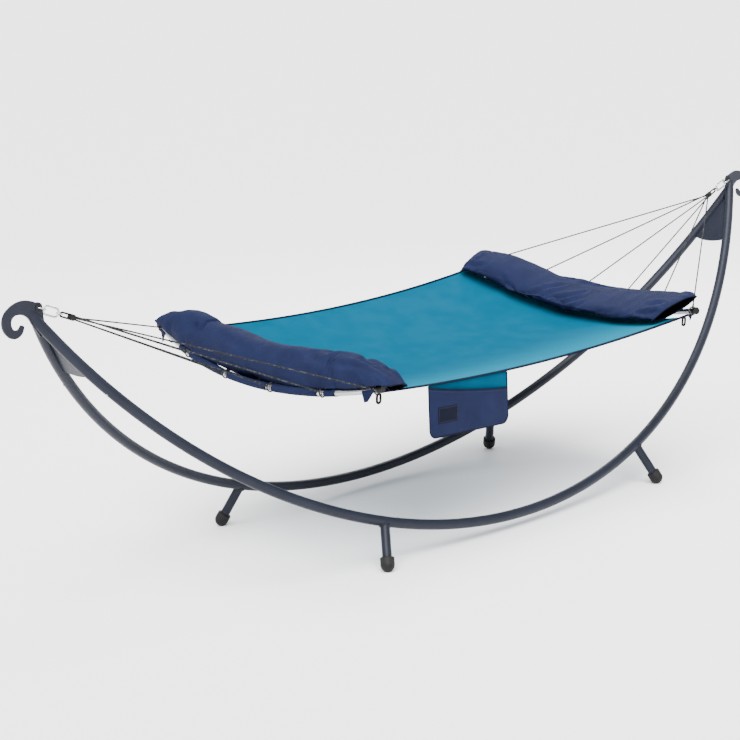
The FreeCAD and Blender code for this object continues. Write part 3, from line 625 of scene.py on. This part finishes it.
def buildRopes():
    # each rope is straight from the collar to the bar, with a loop round the bar
    angles = {0.96: 0.0, 0.6: 60.0, 0.2: -60.0}
    for endName, end in endNames:
        for order, share in enumerate(s * side for side in (1, -1) for s in barSize["ropeShares"]):
            angle = math.radians(angles[abs(share)])
            side = 1 if share > 0 else -1
            start = pullPoint(end, ropeSize["collarEnd"] + ropeSize["startGap"],
                              side * ropeSize["bundle"] * math.cos(angle), ropeSize["bundle"] * math.sin(angle))
            target = barPoint(end, share * barSize["half"])
            way = unit(target - start)
            reach = np.linalg.norm(target - start) - barSize["radius"] - ropeSize["radius"] - ropeSize["stop"]
            stations = np.array([0, 0.036, reach / 2, reach - 0.036, reach])
            points = rolled(start + way * stations[:, None])
            name = "rope_%s_%d" % (endName, order + 1)
            curve = bpy.data.curves.new(name + "_cord", "CURVE")
            curve.dimensions = "3D"
            spline = curve.splines.new("NURBS")
            spline.points.add(len(points) - 1)
            spline.points.foreach_set("co", np.hstack([points, np.ones((len(points), 1))]).ravel())
            spline.order_u = 3
            spline.use_endpoint_u = True
            spline.resolution_u = 8
            curve.bevel_depth = ropeSize["radius"]
            curve.bevel_resolution = rope["sides"]
            curve.use_fill_caps = True
            curve.materials.append(greyRope)
            cord = bpy.data.objects.new(name + "_cord", curve)
            bpy.context.scene.collection.objects.link(cord)
            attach(cord, "hammock")
            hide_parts(name)
            # the eye spliced round the bar: a thicker run, then a loop in the plane of the rope
            turn = np.linspace(0, 2 * math.pi, 48, endpoint=False)
            r = barSize["radius"] + ropeSize["radius"] + rope["loopGap"]
            spot = share * barSize["half"]
            barWay = unit(barPoint(end, spot + 0.005) - barPoint(end, spot - 0.005))
            flatWay = unit(way - barWay * np.dot(way, barWay))
            upWay = np.cross(barWay, flatWay)
            stretch = 1 + 0.22 * np.maximum(0, -np.cos(turn)) ** 3
            loop = target + r * (np.cos(turn) * stretch)[:, None] * flatWay + r * np.sin(turn)[:, None] * upWay
            ring = roundBar("ropeLoop_%s_%d" % (endName, order + 1), rolled(loop), ropeSize["radius"],
                            "hammock", greyRope, 10, True, hint=rolled(target + barWay) - rolled(target))
            at = np.linspace(reach - rope["splice"], reach - 0.004, 26)
            fat = ropeSize["radius"] + (rope["spliceRadius"] - ropeSize["radius"]) * np.sin(
                np.linspace(0, math.pi, 26)) ** 0.5
            splice = roundBar("ropeSplice_%s_%d" % (endName, order + 1), rolled(start + way * at[:, None]), fat,
                              "hammock", greyRope, 12)


buildRopes()
print("ropes done")


pillow = {"stepsAlong": 150, "stepsRound": 72, "swell": 0.012, "cap": 0.024, "pressure": 4.0, "slack": -0.035,
          "frames": 20, "lipDepth": 0.055, "foldGain": 1.7, "lump": 0.0035, "crease": 0.0009,
          "fill": 0.7}
# knots run from the near end to the far end; sizes in metres, tilt lifts the side over the bar
pillowKnots = (-1.0, -0.667, -0.333, 0.0, 0.333, 0.667, 1.0)
pillowForms = {
    "left": {"near": -0.690, "far": 0.674, "inset": (0.076, 0.078, 0.078, 0.078, 0.078, 0.078, 0.076),
             "deep": (0.118, 0.119, 0.121, 0.121, 0.121, 0.121, 0.121), "deepEnds": (0.084, 0.082),
             "thick": (0.150, 0.168, 0.166, 0.160, 0.168, 0.160, 0.150), "thickEnds": (0.034, 0.026),
             "tilt": (12, 14, 14, 14, 14, 14, 14), "liftEnds": (0.016, 0.012), "seed": 61},
    "right": {"near": -0.668, "far": 0.676, "inset": (0.096, 0.100, 0.106, 0.106, 0.092, 0.076, 0.070),
              "deep": (0.146, 0.154, 0.160, 0.158, 0.146, 0.134, 0.126), "deepEnds": (0.118, 0.078),
              "thick": (0.146, 0.142, 0.142, 0.130, 0.146, 0.172, 0.150), "thickEnds": (0.060, 0.022),
              "tilt": (20, 17, 14, 14, 14, 14, 14), "liftEnds": (0.014, 0.010), "seed": 67},
}
# folds as (start t, start turn, end t, end turn, depth, width), t from the near end, turn 0.25 is the top
pillowFolds = {
    "left": ((0.055, 0.30, 0.150, 0.20, 0.0075, 0.012), (0.030, 0.33, 0.120, 0.30, 0.0065, 0.011),
             (0.080, 0.38, 0.200, 0.40, 0.0050, 0.013), (0.020, 0.22, 0.090, 0.14, 0.0050, 0.012),
             (0.220, 0.42, 0.330, 0.34, 0.0035, 0.015), (0.700, 0.40, 0.860, 0.36, 0.0030, 0.020),
             (0.520, 0.44, 0.640, 0.38, 0.0030, 0.018), (0.900, 0.30, 0.985, 0.26, 0.0040, 0.015)),
    "right": ((0.560, 0.05, 0.460, 0.26, 0.0080, 0.012), (0.600, 0.06, 0.540, 0.24, 0.0065, 0.011),
              (0.520, 0.04, 0.430, 0.22, 0.0055, 0.012), (0.620, 0.10, 0.560, 0.28, 0.0055, 0.012),
              (0.480, 0.02, 0.420, 0.14, 0.0050, 0.011), (0.640, 0.03, 0.600, 0.16, 0.0045, 0.012),
              (0.020, 0.12, 0.100, 0.06, 0.0060, 0.013), (0.030, 0.22, 0.120, 0.20, 0.0050, 0.014),
              (0.880, 0.14, 0.980, 0.10, 0.0050, 0.013), (0.250, 0.10, 0.330, 0.03, 0.0035, 0.014),
              (0.720, 0.05, 0.800, 0.12, 0.0030, 0.016)),
}


def softKnots(s, values, rounds=60):
    # knots joined and then smoothed along the run
    run = np.interp(s, pillowKnots, values)
    for _ in range(rounds):
        run[1:-1] = (run[:-2] + 2 * run[1:-1] + run[2:]) / 4
    return run


def pillowShape(end, form, shrink):
    # a bag that follows the bar's bow: full lens sections that flatten towards both end seams
    t = np.linspace(0, 1, pillow["stepsAlong"])
    t = t - 0.035 * np.sin(2 * math.pi * t) / (2 * math.pi) * 4
    s = 2 * t - 1
    y = form["near"] + (form["far"] - form["near"]) * t
    fill = np.sqrt(np.maximum(0.0, 1 - np.abs(s) ** 6))
    endOf = (s > 0).astype(int)
    deep = softKnots(s, form["deep"])
    deep = np.take(form["deepEnds"], endOf) + (deep - np.take(form["deepEnds"], endOf)) * fill
    thick = softKnots(s, form["thick"])
    thick = np.take(form["thickEnds"], endOf) + (thick - np.take(form["thickEnds"], endOf)) * fill
    lift = np.take(form["liftEnds"], endOf) * (1 - fill)
    tilt = np.radians(softKnots(s, form["tilt"]))[:, None]
    way = barPoint(end, np.clip(y + 0.001, -0.69, 0.69)) - barPoint(end, np.clip(y - 0.001, -0.69, 0.69))
    inward = unit(np.stack([-end * way[:, 1], end * way[:, 0], 0 * y], -1))
    middle = barPoint(end, y) + inward * softKnots(s, form["inset"])[:, None]
    middle[:, 2] = bedHeight(middle[:, 0], middle[:, 1]) + thick / 2 + lift - 0.002
    reach = inward * np.cos(tilt) - np.array([0, 0, 1.0]) * np.sin(tilt)
    raised = inward * np.sin(tilt) + np.array([0, 0, 1.0]) * np.cos(tilt)
    turn = np.linspace(0, 2 * math.pi, pillow["stepsRound"], endpoint=False)
    c, d = np.cos(turn), np.sin(turn)
    cx = np.sign(c) * np.abs(c) ** 0.9
    squash = 0.92 + 0.5 * (1 - fill)[:, None]
    dz = np.sign(d) * np.abs(d) ** squash
    across = (deep - shrink * fill)[:, None] * cx
    above = (thick / 2 - shrink * fill)[:, None] * dz
    return middle[:, None, :] + reach[:, None, :] * across[..., None] + raised[:, None, :] * above[..., None]


def clearOfBed(end, points, gap):
    # lifts level points above the cloth and the bar's casing
    x, y, z = points[..., 0], points[..., 1], points[..., 2]
    floor = bedHeight(x, y)
    bar = barPoint(end, np.clip(y, -barSize["half"], barSize["half"]))
    inset = (bar[..., 0] - x) * end
    top = bar[..., 2] + casing["radius"] + 0.001
    share = np.clip((casing["tail"] - inset) / casing["tail"], 0, 1)
    floor = np.where(inset < casing["tail"], floor + (top - floor) * share ** 0.8, floor)
    lifted = points.copy()
    lifted[..., 2] = np.maximum(z, floor + gap)
    return lifted


def inflate(piece, start):
    # cloth with pressure on a bag slightly too small, so that its cover creases as it fills
    mod = piece.modifiers.new("inflate", "CLOTH")
    mod.settings.use_pressure = True
    mod.settings.uniform_pressure_force = pillow["pressure"]
    mod.settings.quality = 5
    mod.settings.mass = 0.25
    mod.settings.shrink_min = pillow["slack"]
    mod.settings.bending_stiffness = 0.35
    mod.settings.tension_stiffness = 12
    mod.settings.compression_stiffness = 12
    mod.settings.effector_weights.gravity = 0
    mod.collision_settings.use_collision = False
    mod.point_cache.frame_start = 1
    mod.point_cache.frame_end = pillow["frames"]
    scene = bpy.context.scene
    for step in range(1, pillow["frames"] + 1):
        scene.frame_set(step)
        graph = bpy.context.evaluated_depsgraph_get()
    done = piece.evaluated_get(graph)
    flat = np.empty(len(done.data.vertices) * 3)
    done.data.vertices.foreach_get("co", flat)
    piece.modifiers.remove(mod)
    scene.frame_set(1)
    shift = flat.reshape(start.shape) - start
    size = np.linalg.norm(shift, axis=-1, keepdims=True)
    return start + shift * np.minimum(1, pillow["cap"] / np.maximum(size, 1e-9))


def gridNormals(points):
    # outward normals of a tube of points whose rings close on themselves
    along = np.gradient(points, axis=0)
    around = np.roll(points, -1, 1) - np.roll(points, 1, 1)
    normal = unit(np.cross(along, around))
    middle = points.mean(1, keepdims=True)
    flip = np.sign(((points - middle) * normal).sum(-1).mean())
    return normal * flip


def foldDepth(points, folds):
    # creases: a groove along each fold's line with a low ridge on both sides
    n, m = points.shape[:2]
    depth = np.zeros((n, m))
    for t0, a0, t1, a1, deep, wide in folds:
        k = np.linspace(0, 1, 24)
        bend = 0.012 * np.sin(math.pi * k)
        rows = np.clip(((t0 + (t1 - t0) * k + bend) * (n - 1)), 0, n - 1).astype(int)
        cols = ((a0 + (a1 - a0) * k) * m).astype(int) % m
        line = points[rows, cols]
        gap = np.linalg.norm(points[:, :, None, :] - line[None, None], axis=-1)
        near = gap.argmin(-1)
        gap = gap.min(-1)
        taper = np.sin(math.pi * (0.08 + 0.84 * near / 23)) ** 0.8
        ridge = 0.45 * np.exp(-((gap - 1.9 * wide) / wide) ** 2)
        depth += pillow["foldGain"] * deep * taper * (ridge - np.exp(-(gap / wide) ** 2))
    return depth


def buildPillow(endName, end):
    # the bag is filled by cloth simulation, then creased and lifted clear of the bed
    form = pillowForms[endName]
    level = pillowShape(end, form, pillow["swell"])
    n, m = level.shape[:2]
    t = np.linspace(0, 1, n)[:, None]
    a = np.linspace(0, 1, m, endpoint=False)[None, :]
    lump = ripple(t * 16, np.sin(2 * math.pi * a) * 2.2, form["seed"], 9, 0.4, 2.0) * pillow["lump"]
    crease = ripple(t * 70, np.sin(2 * math.pi * a) * 3, form["seed"] + 1, 10, 0.4, 2.0) * pillow["crease"]
    bag = gridMesh("pillowBag", level, "hammock", navyCloth, closeV=True, capU=True)
    level = inflate(bag, level.reshape(-1, 3)).reshape(level.shape)
    bpy.data.objects.remove(bag)
    level = level + gridNormals(level) * (lump + crease)[..., None]
    level = level + gridNormals(level) * foldDepth(level, pillowFolds[endName])[..., None]
    lipShare = np.exp(-np.arange(n) / 6.0)[:, None]
    level[..., 1] -= 0.020 * lipShare * np.sin(2 * math.pi * a)
    level = clearOfBed(end, level, 0.003)
    # the near end is an open sleeve: its rim turns in, and the inward bands and the deep end face are near-black
    rim, heart = level[0], level[0].mean(0)
    inner = unit(level[8].mean(0) - heart)
    rings = [heart + (rim - heart) * keep + inner * depth
             for depth, keep in ((pillow["lipDepth"], 0.80), (0.030, 0.86), (0.008, 0.92), (-0.0015, 0.97))]
    full = np.concatenate([np.stack(rings), level], 0)
    span = np.linalg.norm(level[-1].mean(0) - heart)
    u = np.concatenate([[-0.06, -0.04, -0.02, -0.005], np.linspace(0, span, n)])
    piece = gridMesh("pillow_%s_cover" % endName, rolled(full), "hammock", navyCloth, closeV=True, capU=True,
                     uv=(u, np.linspace(0, 0.60, m + 1)))
    piece.data.materials.append(nearBlackCloth)
    # the first three inward bands and the deep end face take the near-black cloth
    count = len(piece.data.polygons)
    kinds = np.zeros(count, int)
    kinds[:3 * m] = 1
    kinds[count - 2] = 1
    piece.data.polygons.foreach_set("material_index", kinds)
    outward(piece)
    divide(piece)
    rimPath = level[0] + gridNormals(level)[0] * 0.0006
    roundBar("pillowRim_" + endName, rolled(rimPath), 0.0024, "hammock", darkNavyCloth, 8, True)
    # the far seam, closed flat, and a plain tag
    half = m // 2
    seam = (level[-1, :half + 1] + level[-1, np.r_[0, np.arange(m - 1, half - 1, -1)]]) / 2
    roundBar("pillowSeam_" + endName, rolled(seam), 0.0042, "hammock", darkNavyCloth, 10)
    outWay = unit(level[-1].mean(0) - level[-8].mean(0))
    edge = unit(seam[half // 2 + 2] - seam[half // 2 - 2])
    side = np.linspace(-0.012, 0.012, 8)[:, None, None]
    length = np.linspace(0, 0.018, 6)[None, :, None]
    tag = seam[half // 2] + edge * side + outWay * (length - 0.002) + np.cross(edge, outWay) * 0.003 * np.sin(
        length * 90)
    thicken(gridMesh("pillowTag_" + endName, rolled(tag), "hammock", nearBlackCloth,
                                  uv=(side[:, 0, 0], length[0, :, 0])), 0.0012)
    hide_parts("pillow_" + endName)


for endName, end in endNames:
    buildPillow(endName, end)
print("pillows done")


pocket = {"from": -0.664, "to": -0.211, "drop": 0.212, "corner": 0.034, "mouthNear": 0.012,
          "mouthFar": 0.068, "mouthSag": 0.006, "depth": 0.013, "thick": 0.0014, "steps": 90, "rows": 60,
          "patch": (0.044, 0.153, 0.094, 0.158)}


def pocketAxes():
    # the pocket hangs straight down from a length of the bed's front edge
    a, b = (rolled(bedPoint(pocket[k] / bedSize["cornerX"], -1.0, -bedSize["thick"])) for k in ("from", "to"))
    along = unit(b - a)
    out = unit(np.cross(along, (0, 0, 1)))
    down = np.array([0.0, 0.0, -1.0])
    return a, along, (out if out[1] < 0 else -out), down, float(np.linalg.norm(b - a))


def buildPocket():
    origin, along, out, down, width = pocketAxes()

    def lay(across, below, off):
        return (origin + np.asarray(across)[..., None] * along + np.asarray(below)[..., None] * down
                + np.asarray(off)[..., None] * out)

    def lowEdge(across, margin=0.0):
        # bottom edge with round corners
        r = pocket["corner"]
        into = np.clip(r + margin - np.minimum(across, width - across), 0, r)
        return pocket["drop"] - margin - (r - np.sqrt(np.maximum(0, r * r - into * into)))

    def mouth(across):
        t = across / width
        return pocket["mouthNear"] + (pocket["mouthFar"] - pocket["mouthNear"]) * t + pocket["mouthSag"] * np.sin(
            math.pi * t)

    t = np.linspace(0, 1, pocket["steps"])
    across = width * (0.5 - 0.5 * np.cos(math.pi * t)) * 0.998 + width * 0.001
    rows = np.linspace(0, 1, pocket["rows"])[:, None]
    # back panel
    top = 0.0035 * np.ones_like(across)
    below = top + (lowEdge(across) - top) * rows
    wave = 0.0018 * ripple(across[None, :] * 22, below * 16, 7, 9, 0.4, 1.8) * np.minimum(1, below / 0.05)
    back = gridMesh("pocketBack", lay(across * np.ones_like(rows), below, -0.0016 + wave), "pocket", tealPanel,
                    uv=(np.linspace(0, pocket["drop"], pocket["rows"]), across))
    thicken(back, pocket["thick"])
    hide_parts("pocket_back")
    # pouch: stands off the back panel, most at its mouth
    lip = mouth(across)
    below = lip + (lowEdge(across, 0.002) - lip) * rows
    side = np.abs(2 * across / width - 1)
    belly = (1 - side ** 5) * (1 - 0.75 * rows ** 2.2) * (1 - rows ** 14)
    wave = 0.0022 * ripple(across[None, :] * 18, below * 20, 12, 10, 0.3, 1.6) * (1 - side ** 4)
    off = 0.0012 + pocket["depth"] * belly * 0.8 + wave * belly + wave * 0.15
    front = gridMesh("pocketPouch", lay(across * np.ones_like(rows), below, off), "pocket", navyCloth,
                     uv=(np.linspace(0, pocket["drop"], pocket["rows"]), across))
    thicken(front, pocket["thick"])
    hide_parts("pocket_pouch")
    # binding down both sides and along the bottom, and a hem on the mouth
    sideDown = np.linspace(0.004, pocket["drop"] - pocket["corner"], 40)
    corner = np.radians(np.linspace(0, 90, 16))[1:]
    r = pocket["corner"]
    cornerAcross = r - r * np.cos(corner)
    cornerBelow = pocket["drop"] - r + r * np.sin(corner)
    bottom = np.linspace(r, width - r, 60)[1:-1]
    runA = np.concatenate([0 * sideDown, cornerAcross, bottom, (width - cornerAcross)[::-1], width + 0 * sideDown])
    runB = np.concatenate([sideDown, cornerBelow, pocket["drop"] + 0 * bottom, cornerBelow[::-1], sideDown[::-1]])
    edge = lay(runA, runB, 0 * runA)
    binding = roundBar("pocketBinding", edge, 0.0034, "pocket", darkNavyCloth, 12, hint=tuple(out), flat=0.6)
    hemPath = lay(across, lip, off[0])
    hem = roundBar("pocketHem", hemPath, 0.0030, "pocket", darkNavyCloth, 12, hint=tuple(out), flat=0.6)
    rowPath = lay(across[4:-4], lip[4:-4] + 0.009, off[3][4:-4] + 0.0004)
    row = stitches("pocketStitch", rowPath, out, "pocket", threadNavy)
    # plain sewn patch
    a0, a1, b0, b1 = pocket["patch"]
    pa, pb = np.meshgrid(np.linspace(a0, a1, 40), np.linspace(b0, b1, 26), indexing="ij")
    lipAt, lowAt = np.interp(pa, across, lip), np.interp(pa, across, lowEdge(across, 0.002))
    tRow = (pb - lipAt) / (lowAt - lipAt)
    gridRow = np.clip(tRow, 0, 1) * (pocket["rows"] - 1)
    gridCol = np.interp(pa, across, np.arange(pocket["steps"]))
    i0, j0 = gridRow.astype(int), gridCol.astype(int)
    fi, fj = gridRow - i0, gridCol - j0
    i1, j1 = np.minimum(i0 + 1, pocket["rows"] - 1), np.minimum(j0 + 1, pocket["steps"] - 1)
    surface = ((off[i0, j0] * (1 - fi) + off[i1, j0] * fi) * (1 - fj)
               + (off[i0, j1] * (1 - fi) + off[i1, j1] * fi) * fj)
    patch = gridMesh("pocketPatch", lay(pa, pb, surface + 0.0011)[::-1], "pocket", patchCloth,
                     uv=(np.linspace(0, a1 - a0, 40), np.linspace(0, b1 - b0, 26)))
    thicken(patch, 0.0010)
    inset = 0.004
    k = np.linspace(0, 1, 30)
    loopA = np.concatenate([a0 + inset + (a1 - a0 - 2 * inset) * k, a1 - inset + 0 * k,
                            a1 - inset - (a1 - a0 - 2 * inset) * k, a0 + inset + 0 * k])
    loopB = np.concatenate([b0 + inset + 0 * k, b0 + inset + (b1 - b0 - 2 * inset) * k,
                            b1 - inset + 0 * k, b1 - inset - (b1 - b0 - 2 * inset) * k])
    loopI = np.clip(((loopA - a0) / (a1 - a0) * 39).astype(int), 0, 39)
    loopJ = np.clip(((loopB - b0) / (b1 - b0) * 25).astype(int), 0, 25)
    border = stitches("patchStitch", lay(loopA, loopB, surface[loopI, loopJ] + 0.0014), out, "pocket", threadPatch,
                      pitch=0.004, length=0.0026, radius=0.00035)


buildPocket()
print("pocket done")


toggle = {"radius": 0.0048, "half": 0.0092, "long": 0.036}


def buildToggles():
    # four small cord loops under the cloth's corners, each a stadium that hangs down
    made = []
    for endName, end in endNames:
        for sideName, side in sideNames:
            corner = bedPoint(end * 0.985, side * 0.97)
            top = corner[2] - bedSize["thick"] - toggle["radius"] - 0.0003
            a = np.linspace(0, math.pi, 16)
            h, l = toggle["half"], toggle["long"]
            upper = np.stack([h * np.cos(a), h - h * np.sin(a)], -1)
            lower = np.stack([-h * np.cos(a), l - h + h * np.sin(a)], -1)
            flat = np.vstack([upper, lower])
            path = np.stack([corner[0] + flat[:, 0], corner[1] + 0 * flat[:, 0], top - flat[:, 1]], -1)
            made.append(roundBar("toggle_%s_%s" % (sideName, endName), rolled(path), toggle["radius"], "hammock",
                                 blackCord, 10, True, hint=(0, 1, 0)))
    for piece in made:
        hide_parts("corner_toggles")


buildToggles()
print("toggles done")


view = {"place": (-6.302, -6.292, 2.524), "azimuth": -43.15, "elevation": 12.17, "roll": -2.32, "lens": 103.86}
stage = {"floorHalf": 400.0, "sky": 1.25, "lamps": (("key", "SUN", (-2.6, -2.4, 5.0), 56.0, 9.3, (0.0, 0.0, 0.0)),
                               ("top", "AREA", (1.0, 0.5, 6.5), 3.0, 260, (0, 0, 0)),
                               ("rim", "AREA", (4.5, 3.5, 3.5), 2.0, 90, (0.5, 0, 0.8)))}


def buildCamera():
    az, el, ro = (math.radians(view[k]) for k in ("azimuth", "elevation", "roll"))
    back = Vector((math.sin(az) * math.cos(el), -math.cos(az) * math.cos(el), math.sin(el)))
    right = Vector((math.cos(az), math.sin(az), 0))
    up = back.cross(right)
    across = right * math.cos(ro) + up * math.sin(ro)
    above = up * math.cos(ro) - right * math.sin(ro)
    data = bpy.data.cameras.new("camera")
    data.lens = view["lens"]
    data.sensor_width = 36
    cam = bpy.data.objects.new("camera", data)
    bpy.context.scene.collection.objects.link(cam)
    turn = Matrix((across, above, back)).transposed().to_4x4()
    cam.matrix_world = Matrix.Translation(view["place"]) @ turn
    bpy.context.scene.camera = cam


def buildStage():
    side = stage["floorHalf"]
    mesh = bpy.data.meshes.new("floor")
    spots = ((-side, -side), (side, -side), (side, side), (-side, side))
    mesh.from_pydata([(x, y, -0.0005) for x, y in spots], [], [(0, 1, 2, 3)])
    ground = bpy.data.objects.new("floor", mesh)
    material, tree, shader = newMaterial("floorPaint")
    shader.inputs["Base Color"].default_value = (0.93, 0.93, 0.935, 1)
    shader.inputs["Roughness"].default_value = 0.9
    shader.inputs["Specular IOR Level"].default_value = 0.1
    mesh.materials.append(material)
    bpy.context.scene.collection.objects.link(ground)
    world = bpy.data.worlds.new("studio")
    bpy.context.scene.world = world
    world.use_nodes = True
    world.node_tree.nodes["Background"].inputs["Color"].default_value = (1.0, 1.0, 1.0, 1)
    world.node_tree.nodes["Background"].inputs["Strength"].default_value = stage["sky"]
    for name, kind, at, size, power, target in stage["lamps"]:
        lamp = bpy.data.lights.new(name, kind)
        lamp.energy = power
        if kind == "SUN":
            lamp.angle = math.radians(size)
        else:
            lamp.shape = "DISK"
            lamp.size = size
        holder = bpy.data.objects.new(name, lamp)
        holder.location = at
        holder.rotation_euler = (Vector(target) - Vector(at)).to_track_quat("-Z", "Y").to_euler()
        bpy.context.scene.collection.objects.link(holder)


buildCamera()
buildStage()
print("camera and light done")
